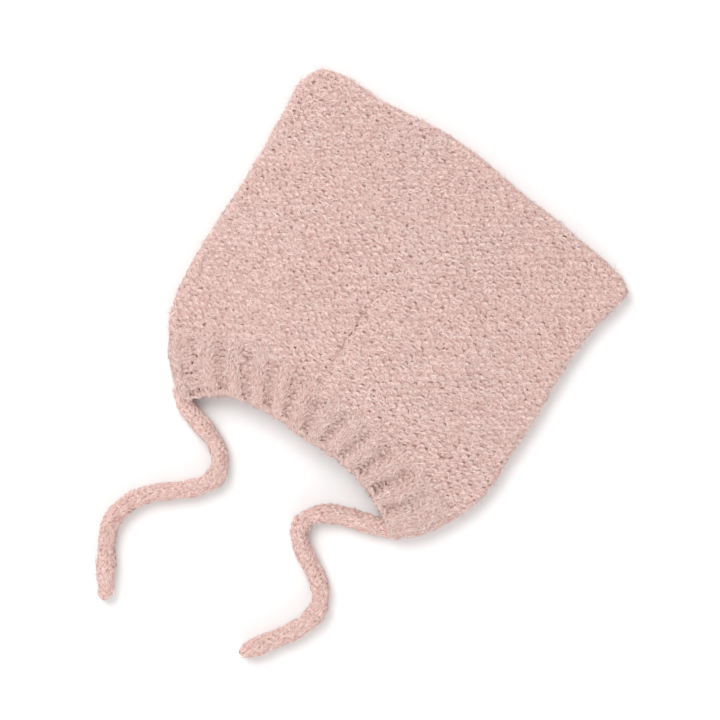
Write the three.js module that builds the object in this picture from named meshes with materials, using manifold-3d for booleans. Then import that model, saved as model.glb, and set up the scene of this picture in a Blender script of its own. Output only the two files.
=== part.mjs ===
// A child's knitted bonnet with two cat ears, lying flat with its ties laid out beside it.
// The crown is one flattened tube of moss-stitch fabric. It is sewn shut along its top edge, so that the
// two top corners stand out as ears, and a seam runs down the middle of the upper layer. A ribbed band
// draws in the open end, and a knitted tie hangs from each of the band's two flaps.
// Millimetres. +X is to the right, +Y towards the ears and +Z up, away from the surface it lies on.
import * as THREE from "three";
import { mergeVertices } from "three/addons/utils/BufferGeometryUtils.js";
import Module from "manifold-3d";

const wasm = await Module();
wasm.setup();

// Driving dimensions of the crown and band.
const earSpan = 235; // across the two ear tips
const fullLength = 221.5; // from the crest of the top edge to the tips of the flaps
const topArch = 19.5; // from the crest of the top edge down to the ear tips
const mouthArch = 25; // from the flap tips up to the middle of the mouth
const bandDepth = 26; // the ribbed band, measured along its ribs in the middle
const wall = 4.6; // the knitted fabric
const foldRadius = 6; // outside of the folded side edges
const seamEdgeRadius = 1.4; // outside of the sewn top edge
const puff = 13; // how far the upper layer bulges above the folded edges
const puffPower = 2.4; // how level the bulge stays across the hat before it drops to the folds
const cavityInset = 9; // from the top edge down to where the hollow starts
const seamDepth = 1.6; // of the groove along the centre seam
const seamFade = 0.08; // share of the length over which the groove fades out at each end
const seamWander = 10; // how far the centre seam wanders sideways from the middle
const ribHeight = 1.5; // from the crest of a rib to its valley
const lipRound = 1.1; // how far the mouth's edge is rounded off, inside and outside
const clearance = 0.3; // between pieces that are knitted or sewn together

// Driving dimensions of the ties.
const tieDiameter = 10;
const tieSides = 10;
const tieSteps = 30;
const tieFloorGap = 0.05; // keeps the ties' lowest line just off the surface

// Columns run round the flattened tube: a quarter of them lies from a side fold to the middle of a layer,
// and the first few of these go round the fold. A rib of the band takes four: two raised, two sunk.
const crownColumns = { quarter: 23, fold: 4 };
const bandColumns = { quarter: 26, fold: 4 };
const ribPattern = [1, 1, 0, 0];

// Rows run down the tube. The crown's outer ones crowd towards the top edge.
const crownRows = { outer: 20, hollow: 9, crowding: 1.35 };
const bandRows = { face: 4, outline: 6 };

// The top edge, from the left ear (-1) to the right ear (1): how far it lies below its crest, as a share
// of the top arch.
const topEdge = [
  { across: -1, below: 0.95 },
  { across: -0.975, below: 0.6 },
  { across: -0.93, below: 0.4 },
  { across: -0.86, below: 0.27 },
  { across: -0.77, below: 0.22 },
  { across: -0.62, below: 0.26 },
  { across: -0.48, below: 0.16 },
  { across: -0.3, below: 0.03 },
  { across: -0.12, below: 0 },
  { across: 0.05, below: 0.08 },
  { across: 0.25, below: 0.24 },
  { across: 0.45, below: 0.33 },
  { across: 0.65, below: 0.46 },
  { across: 0.84, below: 0.61 },
  { across: 0.95, below: 0.76 },
  { across: 1, below: 1 },
];

// The two folded side edges, from the ear tips (0) to the flap tips (1): how far each lies from the
// middle, as a share of half the ear span.
const sideEdges = [
  { down: 0, left: 0.985, right: 1 },
  { down: 0.03, left: 1, right: 0.998 },
  { down: 0.1, left: 0.984, right: 0.972 },
  { down: 0.2, left: 0.97, right: 0.948 },
  { down: 0.35, left: 0.956, right: 0.95 },
  { down: 0.5, left: 0.954, right: 0.962 },
  { down: 0.6, left: 0.949, right: 0.96 },
  { down: 0.71, left: 0.934, right: 0.966 },
  { down: 0.78, left: 0.908, right: 0.951 },
  { down: 0.835, left: 0.872, right: 0.918 },
  { down: 0.89, left: 0.81, right: 0.866 },
  { down: 0.945, left: 0.735, right: 0.8 },
  { down: 1, left: 0.62, right: 0.7 },
];

// The mouth's edge, from the left flap (-1) to the right flap (1): how far it lies above the flap tips, as
// a share of the mouth arch.
const mouthEdge = [
  { across: -1, above: 0 },
  { across: -0.93, above: 0.16 },
  { across: -0.86, above: 0.42 },
  { across: -0.74, above: 0.71 },
  { across: -0.56, above: 0.92 },
  { across: -0.38, above: 1 },
  { across: 0, above: 0.97 },
  { across: 0.28, above: 0.97 },
  { across: 0.48, above: 0.87 },
  { across: 0.66, above: 0.68 },
  { across: 0.8, above: 0.47 },
  { across: 0.92, above: 0.2 },
  { across: 1, above: 0.07 },
];

// How full the upper layer lies, from the top edge (0) to the mouth (1), as a share of the puff.
const fullness = [
  { down: 0, share: 0 },
  { down: 0.05, share: 0.1 },
  { down: 0.15, share: 0.48 },
  { down: 0.3, share: 0.85 },
  { down: 0.5, share: 1 },
  { down: 0.7, share: 0.98 },
  { down: 0.85, share: 0.86 },
  { down: 1, share: 0.7 },
];

// How far the centre seam lies from the middle, from the top edge (0) to the mouth (1), as a share of its
// wander: to the right above, to the left below.
const seamCourse = [
  { down: 0, aside: 0.46 },
  { down: 0.12, aside: 0.32 },
  { down: 0.22, aside: -0.04 },
  { down: 0.35, aside: -0.4 },
  { down: 0.5, aside: -0.75 },
  { down: 0.65, aside: -0.86 },
  { down: 0.85, aside: -1 },
  { down: 1, aside: -1 },
];

// The ties' centre lines on the surface, from inside the flap to the free end, as chosen by eye.
const leftTieRoute = [
  [-76.5, -99.5],
  [-72.5, -105.8],
  [-66.5, -110.8],
  [-58.5, -113.6],
  [-49, -116.5],
  [-40, -119.8],
  [-33, -125],
  [-28.8, -132],
  [-29, -140],
  [-33, -147.5],
  [-40, -154],
  [-48, -160.5],
  [-56, -168],
  [-62, -176.5],
  [-65, -186],
  [-65, -195],
  [-62, -203],
  [-57, -211.5],
  [-51, -221],
  [-45.5, -229.5],
];
const rightTieRoute = [
  [84.5, -96.8],
  [79, -102.6],
  [70.5, -107.2],
  [60, -111],
  [50, -113.8],
  [41, -117.6],
  [34, -123.2],
  [30.6, -130],
  [32, -137],
  [38, -142.8],
  [46, -148],
  [54.5, -153],
  [62, -159.2],
  [66.3, -167],
  [66.3, -176],
  [63, -185.5],
  [57.5, -194.5],
  [51.5, -203.5],
  [45.8, -212],
];

// A smooth curve through the rows of a table, as a function of the column `at`.
function through(rows, at, value) {
  const slope = (i) => {
    const before = rows[Math.max(i - 1, 0)];
    const after = rows[Math.min(i + 1, rows.length - 1)];
    return (after[value] - before[value]) / (after[at] - before[at]);
  };
  return (x) => {
    const found = rows.findIndex((row) => row[at] >= x);
    const i = THREE.MathUtils.clamp(found < 0 ? rows.length - 1 : found, 1, rows.length - 1);
    const [low, high] = [rows[i - 1], rows[i]];
    const span = high[at] - low[at];
    const t = THREE.MathUtils.clamp((x - low[at]) / span, 0, 1);
    const rise = high[value] - low[value];
    const start = slope(i - 1) * span - rise;
    const end = rise - slope(i) * span;
    return low[value] + t * rise + t * (1 - t) * (start * (1 - t) + end * t);
  };
}

const belowCrest = through(topEdge, "across", "below");
const aboveTips = through(mouthEdge, "across", "above");
const leftShare = through(sideEdges, "down", "left");
const rightShare = through(sideEdges, "down", "right");
const fullnessAt = through(fullness, "down", "share");
const asideAt = through(seamCourse, "down", "aside");

// Distances down from the crest of the top edge, for a place across the hat.
const topAt = (across) => topArch * belowCrest(across);
const mouthAt = (across) => fullLength - mouthArch * aboveTips(across);
const middleLength = mouthAt(0) - topAt(0);
const bandStart = 1 - bandDepth / middleLength;

// The outside radius of the side folds: the sewn top edge is rounded off from its own small radius.
function foldRadiusAt(down) {
  const inward = Math.min((down * middleLength + seamEdgeRadius) / foldRadius, 1);
  return foldRadius * Math.sqrt(1 - (1 - inward) ** 2);
}

// Where a column lies: which side and layer it is on, and how many columns it is from the side fold.
function placeOf(column, quarter) {
  const fromRight = Math.min(column, 4 * quarter - column);
  const side = fromRight <= quarter ? 1 : -1;
  return {
    side,
    layer: column <= 2 * quarter ? 1 : -1,
    steps: side > 0 ? fromRight : 2 * quarter - fromRight,
  };
}

// A point of the fabric's outer face (inset 0) or inner face (inset of one wall), sunk by the relief.
function fabricPoint(down, column, columns, inset, relief) {
  const { side, layer, steps } = placeOf(column, columns.quarter);
  const left = (earSpan / 2) * leftShare(down);
  const right = (earSpan / 2) * rightShare(down);
  const half = (left + right) / 2;
  const outerRadius = foldRadiusAt(down);
  const radius = outerRadius - inset;
  const flatHalf = half - outerRadius;
  const angle = (Math.min(steps / columns.fold, 1) * Math.PI) / 2;
  const flatShare = Math.max(steps - columns.fold, 0) / (columns.quarter - columns.fold);
  const reach = (radius - relief) * Math.cos(angle);
  let x = side * (flatHalf * (1 - flatShare) + reach);
  let z = foldRadius + layer * (radius - relief) * Math.sin(angle);
  if (layer > 0) {
    const outward = Math.min(Math.abs(x) / flatHalf, 1);
    z += puff * fullnessAt(down) * (1 - outward ** puffPower);
    x += seamWander * asideAt(down) * flatShare;
  }
  const across = THREE.MathUtils.clamp(x / half, -1, 1);
  const y = fullLength / 2 - topAt(across) - down * (mouthAt(across) - topAt(across));
  return [x + (right - left) / 2, y, z];
}

function ringAt(down, columns, inset, relief = () => 0) {
  const places = Array.from({ length: 4 * columns.quarter }, (_, column) => column);
  return places.map((column) => fabricPoint(down, column, columns, inset, relief(column)));
}

// A closed solid from a run of rings. Its two ends are joined to each other, or each is closed flat by
// sewing its upper half to its lower half.
function solidFromRings(rings, joined) {
  const positions = rings.flat(2);
  const ringColumns = rings[0].length;
  const index = [];
  const vertex = (ring, column) => (ring % rings.length) * ringColumns + (column % ringColumns);
  const strips = joined ? rings.length : rings.length - 1;
  for (let ring = 0; ring < strips; ring++)
    for (let column = 0; column < ringColumns; column++) {
      const [a, b] = [vertex(ring, column), vertex(ring, column + 1)];
      const [c, d] = [vertex(ring + 1, column + 1), vertex(ring + 1, column)];
      index.push(a, b, c, a, c, d);
    }
  const sew = (ring, turned) => {
    for (let column = 0; column < ringColumns / 2; column++) {
      const [a, b] = [vertex(ring, column), vertex(ring, column + 1)];
      const [c, d] = [vertex(ring, ringColumns - column - 1), vertex(ring, ringColumns - column)];
      for (const corners of [[a, c, b], [a, d, c]])
        if (new Set(corners).size === 3) index.push(...(turned ? corners.reverse() : corners));
    }
  };
  if (!joined) {
    sew(0, false);
    sew(rings.length - 1, true);
  }
  return new THREE.BufferGeometry()
    .setAttribute("position", new THREE.Float32BufferAttribute(positions, 3))
    .setIndex(index);
}

// Places down the fabric. A bend above 1 crowds them towards the first.
function rowsBetween(from, to, count, bend = 1) {
  return Array.from({ length: count + 1 }, (_, i) => from + (to - from) * (i / count) ** bend);
}

// The crown's outer face is sunk along the seam, at the middle column of its upper layer.
function crownGeometry() {
  const end = bandStart - clearance / 2 / middleLength;
  const seamAt = (down) => seamDepth * Math.min(down / seamFade, (end - down) / seamFade, 1);
  const groove = (down) => (column) => (column === crownColumns.quarter ? seamAt(down) : 0);
  const outer = rowsBetween(0, end, crownRows.outer, crownRows.crowding);
  const outside = outer.map((down) => ringAt(down, crownColumns, 0, groove(down)));
  const hollow = rowsBetween(cavityInset / middleLength, end, crownRows.hollow);
  const inside = hollow.map((down) => ringAt(down, crownColumns, wall));
  return solidFromRings([...outside, ...inside.reverse()], false);
}

// A rib's valley is sunk into the fabric on its outer face, and stands out as far on its inner face.
const valley = (column) => ribHeight * (1 - ribPattern[column % ribPattern.length]);

function bandGeometry() {
  const start = bandStart + clearance / 2 / middleLength;
  const lipStart = 1 - lipRound / middleLength;
  const rows = rowsBetween(start, lipStart, bandRows.face);
  const lip = (inset, turn) => ringAt(1, bandColumns, inset, (column) => valley(column) + turn * lipRound);
  const faceOf = (inset) => rows.map((down) => ringAt(down, bandColumns, inset, valley));
  const rings = [...faceOf(0), lip(0, 1), lip(wall, -1), ...faceOf(wall).reverse()];
  return solidFromRings(rings, true);
}

// The band's outline without its hollow, grown by the clearance. The ties end on it.
function bandClearanceGeometry() {
  const rows = rowsBetween(bandStart, 1 + clearance / middleLength, bandRows.outline);
  return solidFromRings(rows.map((down) => ringAt(down, crownColumns, -clearance)), false);
}

// A tie as a tube along its route, lying on the surface on one of its flats, with a rounded free end.
function tieTube(route) {
  const radius = tieDiameter / 2;
  const centres = route.map(([x, y]) => new THREE.Vector3(x, y, radius + tieFloorGap));
  const path = new THREE.CatmullRomCurve3(centres, false, "centripetal");
  const corners = Array.from({ length: tieSides }, (_, i) => {
    const turn = ((i + 0.5) / tieSides) * 2 * Math.PI;
    const reach = radius / Math.cos(Math.PI / tieSides);
    return new THREE.Vector2(Math.cos(turn), Math.sin(turn)).multiplyScalar(reach);
  });
  const tube = new THREE.ExtrudeGeometry(new THREE.Shape(corners), { steps: tieSteps, extrudePath: path });
  const tip = new THREE.SphereGeometry(radius, tieSides, tieSides / 2);
  tip.translate(...centres.at(-1).toArray());
  return manifoldOf(tube).add(manifoldOf(tip));
}

function manifoldOf(geometry) {
  const bare = geometry.clone();
  bare.deleteAttribute("normal");
  bare.deleteAttribute("uv");
  const merged = mergeVertices(bare);
  return new wasm.Manifold(
    new wasm.Mesh({
      numProp: 3,
      vertProperties: merged.attributes.position.array,
      triVerts: new Uint32Array(merged.index.array),
    }),
  );
}

function geometryOf(manifold) {
  const { vertProperties, triVerts } = manifold.getMesh();
  return new THREE.BufferGeometry()
    .setAttribute("position", new THREE.BufferAttribute(vertProperties, 3))
    .setIndex(new THREE.BufferAttribute(triVerts, 1));
}

// The tie's root is cut back to the flap that it is knitted on to.
const tieGeometry = (route) =>
  geometryOf(tieTube(route).subtract(manifoldOf(bandClearanceGeometry())));

// Brushed wool and mohair in a pale dusty pink: dull, with no metal in it.
const mossKnit = new THREE.MeshStandardMaterial({ color: 0xdfbbb2, roughness: 0.95, metalness: 0 });
const ribKnit = new THREE.MeshStandardMaterial({ color: 0xdcb6ad, roughness: 0.95, metalness: 0 });
const tieKnit = new THREE.MeshStandardMaterial({ color: 0xe0b8ae, roughness: 0.95, metalness: 0 });

function piece(name, geometry, material) {
  geometry.computeVertexNormals();
  const mesh = new THREE.Mesh(geometry, material);
  mesh.name = name;
  return mesh;
}

const bonnet = new THREE.Group();
bonnet.add(piece("crown", crownGeometry(), mossKnit));
bonnet.add(piece("ribbed_band", bandGeometry(), ribKnit));
bonnet.add(piece("tie_left", tieGeometry(leftTieRoute), tieKnit));
bonnet.add(piece("tie_right", tieGeometry(rightTieRoute), tieKnit));

export default bonnet;
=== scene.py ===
"""The looks of a child's knitted bonnet with cat ears, lying flat with its ties beside it.

Every stitch is a loop of yarn laid over the solids of the frame: moss stitch on the crown,
two-by-two rib on the band and small knitted columns round the ties. A thin wall closes the fabric
from inside, and short loose fibres make its brushed surface. Lengths are in millimetres until a
mesh is made.
"""

import math

import bmesh
import bpy
import numpy as np
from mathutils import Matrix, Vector
from mathutils.bvhtree import BVHTree


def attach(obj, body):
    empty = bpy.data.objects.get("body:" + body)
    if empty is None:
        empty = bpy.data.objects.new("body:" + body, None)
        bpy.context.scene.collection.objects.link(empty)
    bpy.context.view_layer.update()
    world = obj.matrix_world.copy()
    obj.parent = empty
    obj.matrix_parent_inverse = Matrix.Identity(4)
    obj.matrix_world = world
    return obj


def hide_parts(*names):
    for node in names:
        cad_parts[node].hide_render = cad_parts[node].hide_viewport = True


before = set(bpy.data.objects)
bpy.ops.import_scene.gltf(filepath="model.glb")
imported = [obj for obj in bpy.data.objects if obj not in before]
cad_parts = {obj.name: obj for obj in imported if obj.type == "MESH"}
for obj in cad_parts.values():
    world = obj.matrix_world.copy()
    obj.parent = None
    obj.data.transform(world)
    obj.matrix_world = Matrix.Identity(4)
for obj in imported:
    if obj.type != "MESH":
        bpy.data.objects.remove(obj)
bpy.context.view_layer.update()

MM = 0.001
UP = np.array([0.0, 0.0, 1.0])
QUARTER_TURN = math.pi / 2
FULL_TURN = 2 * math.pi
NO_POINTS = np.zeros((0, 3))
rng = np.random.default_rng(7)

# The camera looks straight down, turned so that the bonnet lies as it does in the photograph.
VIEW_WIDTH = 432
VIEW_CENTRE = (5.4, -31.0)
VIEW_TURN = math.radians(33.5)
CAMERA_HEIGHT = 1500
CAMERA_SEES_METRES = 20
SENSOR = 36

# The bonnet as its solids have it: the wall, the folds, the sewn top, the ears and flaps as (x, y),
# and the band, whose columns are counted in quarters of the way round.
WALL = 4.6
FOLD_RADIUS, FOLD_ARC = 6, 7.5
TOP_ROUND, TOP_ARC = 4, 6.5
LEFT_EAR, LEFT_FLAP = (-115.7, 92.2), (-72.9, -110.7)
RIGHT_EAR, RIGHT_FLAP = (117.5, 91.3), (82.2, -109)
SIDE_ENDS = [(LEFT_EAR[1], LEFT_FLAP[1]), (RIGHT_EAR[1], RIGHT_FLAP[1])]
EAR_HALF = (RIGHT_EAR[0] - LEFT_EAR[0]) / 2
MOUTH_HALF = (RIGHT_FLAP[0] - LEFT_FLAP[0]) / 2
MOUTH_MIDDLE = (RIGHT_FLAP[0] + LEFT_FLAP[0]) / 2
BAND_START = 0.868
QUARTER_COLUMNS, FOLD_COLUMNS = 26, 4
LEVEL_COLUMNS = QUARTER_COLUMNS - FOLD_COLUMNS
RIB_HEIGHT = 1.5

# How the solids are measured: by rays from far off, in along the edges and down on a grid. The
# margins keep the grid's places clear of the edges, its heights are smoothed in several passes, and
# GRID_END keeps a place that is looked up inside its last square.
FAR = 400
EDGE_STEP = 1.5
EDGE_HEIGHT = FOLD_RADIUS - 0.1
TOP_REACH = 116.5
MOUTH_SAMPLES = 100
HEIGHT_STEP = 2.0
GRID_REACH_X, GRID_REACH_Y = 120.0, 114.0
GRID_END = 1.001
TOP_MARGIN, MOUTH_MARGIN, SIDE_MARGIN = 1.5, 2, 0.5
PASSES_ACROSS, PASSES_ALONG = 12, 3

# Fabric past a fold: how many quarter turns it may bend, and how far a row may run on, which is
# less on the rounded top of an ear.
MOST_TURNED = 1.35
FOLD_OVERRUN = 1.2
EAR_OVERRUN = -1.6
EAR_ROUNDING = 0.3

# How far off the places are that a normal is worked out from: on the crown in millimetres, and on
# the tube in columns and in shares of its length.
CROWN_PROBE = (0.5, 0.5)
TUBE_PROBE = (0.2, 0.004)

# All yarn: how lumpy it is, how clear of the floor it keeps, how flat its loops are, how finely
# they are made (points along a front loop and a back one, corners of the yarn), and the waves that
# make a smooth uneven field.
YARN_RADIUS = 1.15
YARN_LUMPS, LEAST_LUMP, MOST_LUMP = 0.096, 0.72, 1.35
YARN_WANDER = 0.05
FLOOR_GAP = 0.05
LOOP_FLATNESS = 0.5
LOOP_POINTS, YARN_SIDES = 9, 5
UPPER_DETAIL = (LOOP_POINTS, 3, YARN_SIDES)
UNDER_DETAIL = (7, 3, 4)
WAVE_COUNT, SHORTEST_WAVE, LONGEST_WAVE = 6, 0.7, 1.4

# Moss stitch: loops that stand out in front of the fabric alternate with loops that lie behind it.
# The rows tilt a little, and those near the mouth curve up at both ends. FOLD_LIFT is the share of
# their lift that the loops keep where the fabric turns over a fold.
STITCH_WIDTH = 3.6
ROW_HEIGHT = 2.45
ROW_START = -104
ROW_COUNT = 92
ROW_REACH = 130
ROW_TILT = math.tan(math.radians(2.5))
ROW_HEADING = np.array([1.0, ROW_TILT, 0.0])
SMILE, SMILE_TOP, SMILE_FADE, SMILE_POWER = 0.0028, 15, 65, 1.5
LOOP_HALF_HEIGHT = 1.25
MOSS_WIDENING = 0.28
FRONT_HEAD, FRONT_LEG, BACK_LIFT = 0.75, -0.1, -0.4
FOLD_LIFT = 0.5
CENTRE_DEPTH = YARN_RADIUS + FRONT_HEAD
BAND_OVERLAP = 0.2

# How uneven the moss stitch is: from row to row, from loop to loop, and in waves over the fabric
# (how much, seed, length of the waves). The sideways waves fade out towards the seam.
ROW_JITTER, GAP_JITTER, HEAD_JITTER = 0.2, 0.25, 0.2
MOSS_ASIDE, MOSS_TALLER, MOSS_THICKER, MOSS_DEEPER, MOSS_HIGHER = 0.12, 0.22, 0.08, 0.2, 0.3
MOSS_THINNEST, MOSS_THICKEST = 0.75, 1.25
LEVEL_WAVE, LEVEL_SEED, LEVEL_LENGTH = 0.9, 3, 60
ASIDE_WAVE, ASIDE_SEED, ASIDE_LENGTH, ASIDE_FADE = 0.8, 5, 70, 20
SWELL_WAVE, SWELL_SEED, SWELL_LENGTH = 0.09, 11, 14

# Two-by-two rib. Its purl columns are sunk less deep towards the flaps, where the fabric is fuller.
# Each effect comes in over a share of the band's depth that begins BAND_EARLY above the band, and
# no stitch starts higher than BAND_FIRST.
BAND_DEPTH, BAND_ROWS = 26, 7
RIB_ROW = BAND_DEPTH / BAND_ROWS
RIB_YARN_RADIUS = 1.42
RIB_LOOP_HALF_HEIGHT = 2.8
RIB_WIDENING = 0.34
RIB_LIFT = 0.72
RIB_PULL, RIB_ROUNDNESS, RIB_COMES_IN = 2.8, 1.3, 0.3
FLATTER_RIBS, LEAST_RIB = 9, 0.25
FLAP_PUFF, FLAP_YARN, PUFF_COMES_IN = 4.4, 0.35, 0.9
BAND_RISE, RISE_COMES_IN = 0.4, 0.15
BAND_EARLY, BAND_FIRST = 0.1, -0.14
RIB_ASIDE, RIB_TALLER, RIB_THICKER, RIB_DEEPER = 0.11, 0.15, 0.16, 0.2
RIB_THINNEST, RIB_THICKEST = 0.7, 1.35
RIB_FIBRES_ABOVE = -0.2

# The cast-on chain round the mouth: its loops, and its waves (axis, how much, seed, length).
CHAIN_STEP = 0.125
CHAIN_DEPTH, CHAIN_HALF_DEPTH = WALL / 2 + 0.2, 1.1
CHAIN_OUT, CHAIN_HALF_HEIGHT, CHAIN_RELIEF = 0.2, 0.9, 1.3
CHAIN_WAVES = ((1, 0.7, 43, 6), (2, 0.5, 44, 5))
CHAIN_LAYERS_APART, CHAIN_STRANDS_APART = 30, 9
CHAIN_YARN, CHAIN_SWELL, CHAIN_SWELL_SEED, CHAIN_SWELL_LENGTH = 0.95, 0.15, 41, 7

# The centre seam of the upper layer: y, and x at that y; then y, and how deep it is there.
SEAM_LINE = [
    (112, 5.5),
    (87, 2.6),
    (77, 0.1),
    (66, -1.6),
    (51, -2.9),
    (43, -4.2),
    (23, -5.4),
    (9, -7.1),
    (-9, -7.5),
    (-58, -7.3),
    (-90, -7.3),
]
SEAM_DEPTHS = [(-90, 0.9), (-40, 1.1), (-15, 1.4), (5, 0.8), (25, 0.4), (60, 0.2), (95, 0.1)]
SEAM_GAP, SEAM_OVERLAP, SEAM_WIDTH = 0.45, 0.25, 2.8

# The stitching along the top: where it starts and ends from the ears, its winding, and its waves
# (how much, seed, length).
SEWN_FROM, SEWN_TO, SEWING_STEP = 5, 4, 0.45
SEWING_PITCH = 3.9
SEWING_BELOW_TOP, SEWING_HALF_WIDTH, SEWING_HALF_DEPTH = 2.6, 1.2, 2.9
SEWING_NORMALS_BELOW = 1
SEWING_TURN_WAVE, SEWING_LEVEL_WAVE = (0.8, 21, 25), (0.25, 22, 12)
SEWING_YARN, SEWING_SWELL = 0.95, (0.1, 23, 9)

# The wall under the yarn: its rows as (from, to, how many) in shares of the tube's length, and the
# back of the stitches on its inside.
BACKING_DEPTH, BACKING_STEP = 2.5, 0.5
BACKING_ROWS = ((0, 0.1, 6), (0.1, 0.75, 13), (0.75, 1, 40))
BACKING_RIBS_START = 0.035
BACKING_RIB_DEPTH = RIB_PULL - 0.4
LINING_DEPTH = WALL - 0.4
LINING_ROWS, LINING_RELIEF = 80, 0.35
WELD_DISTANCE, SLIVER = 0.05, 0.01

# Loose fibres. A wisp is a few that cling together, and a stray one stands away from the yarn. The
# shape is the share of a fibre's length and the share of its width that is left there.
CROWN_FIBRES, UNDER_FIBRES, BAND_FIBRES, TIE_FIBRES = 38000, 9000, 10000, 3000
CROWN_FUZZ = {"longest": 7, "stray_share": 0.15, "stray_reach": 1.2, "brushed": 1.5}
BAND_FUZZ = {"longest": 6, "stray_share": 0.2, "stray_reach": 1.8}
TIE_FUZZ = {"longest": 6, "stray_share": 0.3, "stray_reach": 1.2}
FIBRE_ROOT = 0.8
FIBRE_WIDTH, THINNEST_FIBRE, THICKEST_FIBRE = 0.15, 0.7, 1.3
WISP_SHARE, WISP_WIDENING = 0.25, 2.1
FIBRE_TURN, FIBRE_CURL, FIBRE_TWIST = 0.5, 0.45, 0.5
SHORTEST_FIBRE, FIBRE_LENGTH_POWER = 0.3, 1.5
LEAST_RISE, MOST_RISE = 0.1, 0.6
LEAST_STRAY, STRAY_SINK, STRAY_POWER = 0.2, 0.2, 1.5
FIBRE_SHAPE = ((0, 1), (0.4, 0.85), (0.75, 0.5), (1, 0))
FIBRE_CORNERS = 7
FIBRE_FLOOR = 0.1

# Colours as a screen shows them, from 0 to 255: light, middle and dark wool, and the two ends of
# the loose fibres' range. The inner wall's wool is darker than the crown's: painted shade for the
# gaps seen between the stitches.
TIE_SHADES = (237, 218, 212), (229, 201, 194), (218, 176, 168)
MOSS_SHADES = (243, 226, 221), (234, 209, 203), (221, 181, 174)
RIB_SHADES = (229, 213, 208), (217, 193, 187), (203, 165, 158)
INNER_PAINTED_SHADE_COLOURS = (228, 200, 193), (214, 178, 171), (196, 152, 145)
FIBRE_SHADES = (250, 233, 228), (203, 162, 155)

# Light, and the board that the bonnet lies on. A light's place and size are in metres.
WORLD_COLOUR, WORLD_STRENGTH = (1.0, 0.99, 0.985, 1), 0.71
KEY_LIGHT = {"power": 71, "size": 2.4, "place": (-1.9, 0.65, 2.4)}
FILL_LIGHT = {"power": 35, "size": 2.0, "place": (1.8, -1.8, 0.8)}
FLOOR_REACH, FLOOR_POINTS, FLOOR_HEIGHT = 2500, 5, -0.3
FLOOR_PALE, FLOOR_PALER = (0.862, 0.862, 0.862, 1), (0.876, 0.876, 0.876, 1)

# The ties: their knitting, how uneven it is, and how they close at both ends and swell at the flap.
TIE_DIAMETER = 10
TIE_HEIGHT = TIE_DIAMETER / 2 + FLOOR_GAP
TIE_STITCHES = 4
TIE_ROW = 3.5
TIE_YARN_RADIUS = 1.6
TIE_CENTRE_RADIUS = 3.5
TIE_WIDENING = 0.3
TIE_LEG, TIE_HEAD, TIE_REACH_UP = 0.5, -0.7, 0.8
TIE_TALLER, TIE_LIFTED, TIE_THICKER, TIE_ASIDE = 0.15, 0.25, 0.12, 0.08
TIE_TWIST, TIE_TWIST_LENGTH = 0.7, 70
TIE_BULGE, TIE_BULGE_LENGTH = 0.35, 16
TIE_END_ROW = 0.3
TIE_TIP_CLOSED, TIE_ROOT_CLOSED, TIE_ROOT_TAPER = 0.97, 0.95, 9
TIE_SWELL_LENGTH = 16
TIE_HEADING_REACH = 1.5
CORE_STEP, CORE_SHORT, CORE_FULLER, CORE_SIDES = 1.5, 1, 1.04, 10
ROUTE_STEPS = 16

# The ties' centre lines, as in the solids, from inside the flap to the free end.
LEFT_TIE_ROUTE = [
    (-76.5, -99.5),
    (-72.5, -105.8),
    (-66.5, -110.8),
    (-58.5, -113.6),
    (-49, -116.5),
    (-40, -119.8),
    (-33, -125),
    (-28.8, -132),
    (-29, -140),
    (-33, -147.5),
    (-40, -154),
    (-48, -160.5),
    (-56, -168),
    (-62, -176.5),
    (-65, -186),
    (-65, -195),
    (-62, -203),
    (-57, -211.5),
    (-51, -221),
    (-45.5, -229.5),
]
RIGHT_TIE_ROUTE = [
    (84.5, -96.8),
    (79, -102.6),
    (70.5, -107.2),
    (60, -111),
    (50, -113.8),
    (41, -117.6),
    (34, -123.2),
    (30.6, -130),
    (32, -137),
    (38, -142.8),
    (46, -148),
    (54.5, -153),
    (62, -159.2),
    (66.3, -167),
    (66.3, -176),
    (63, -185.5),
    (57.5, -194.5),
    (51.5, -203.5),
    (45.8, -212),
]

# Each tie's route, how much fuller it is at the flap, and its seed.
TIES = {"tie_left": (LEFT_TIE_ROUTE, 0.1, 31), "tie_right": (RIGHT_TIE_ROUTE, 0.25, 32)}


def make_camera():
    """The view from straight above."""
    camera = bpy.data.objects.new("camera", bpy.data.cameras.new("camera"))
    bpy.context.scene.collection.objects.link(camera)
    camera.data.sensor_width = SENSOR
    camera.data.lens = SENSOR * CAMERA_HEIGHT / VIEW_WIDTH
    camera.data.clip_end = CAMERA_SEES_METRES
    camera.location = Vector((*VIEW_CENTRE, CAMERA_HEIGHT)) * MM
    camera.rotation_euler = (0, 0, VIEW_TURN)
    bpy.context.scene.camera = camera


# Measuring the solids


def solid_tree(*names):
    """The faces of these solids, for rays to meet."""
    points, faces = [], []
    for name in names:
        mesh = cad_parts[name].data
        faces += [tuple(i + len(points) for i in face.vertices) for face in mesh.polygons]
        points += [corner.co / MM for corner in mesh.vertices]
    return BVHTree.FromPolygons(points, faces)


def hits(tree, starts, direction, axis, missing):
    """The coordinate along axis where a ray from each start meets the tree, or missing."""
    found = []
    for start in starts:
        place = tree.ray_cast(Vector(start), Vector(direction))[0]
        found.append(missing if place is None else place[axis])
    return np.array(found, float)


def smooth(values, times=2):
    """A few passes of a three-point mean that keeps the ends."""
    values = values.copy()
    for _ in range(times):
        values[1:-1] = values[:-2] * 0.25 + values[1:-1] * 0.5 + values[2:] * 0.25
    return values


class Profile:
    """A smoothed curve through samples of the solids, filled in where the rays missed."""

    def __init__(self, places, values):
        good = ~np.isnan(values)
        self.places = places
        self.values = smooth(np.interp(places, places[good], values[good]))

    def __call__(self, place):
        return np.interp(place, self.places, self.values)


whole = solid_tree("crown", "ribbed_band")


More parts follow.
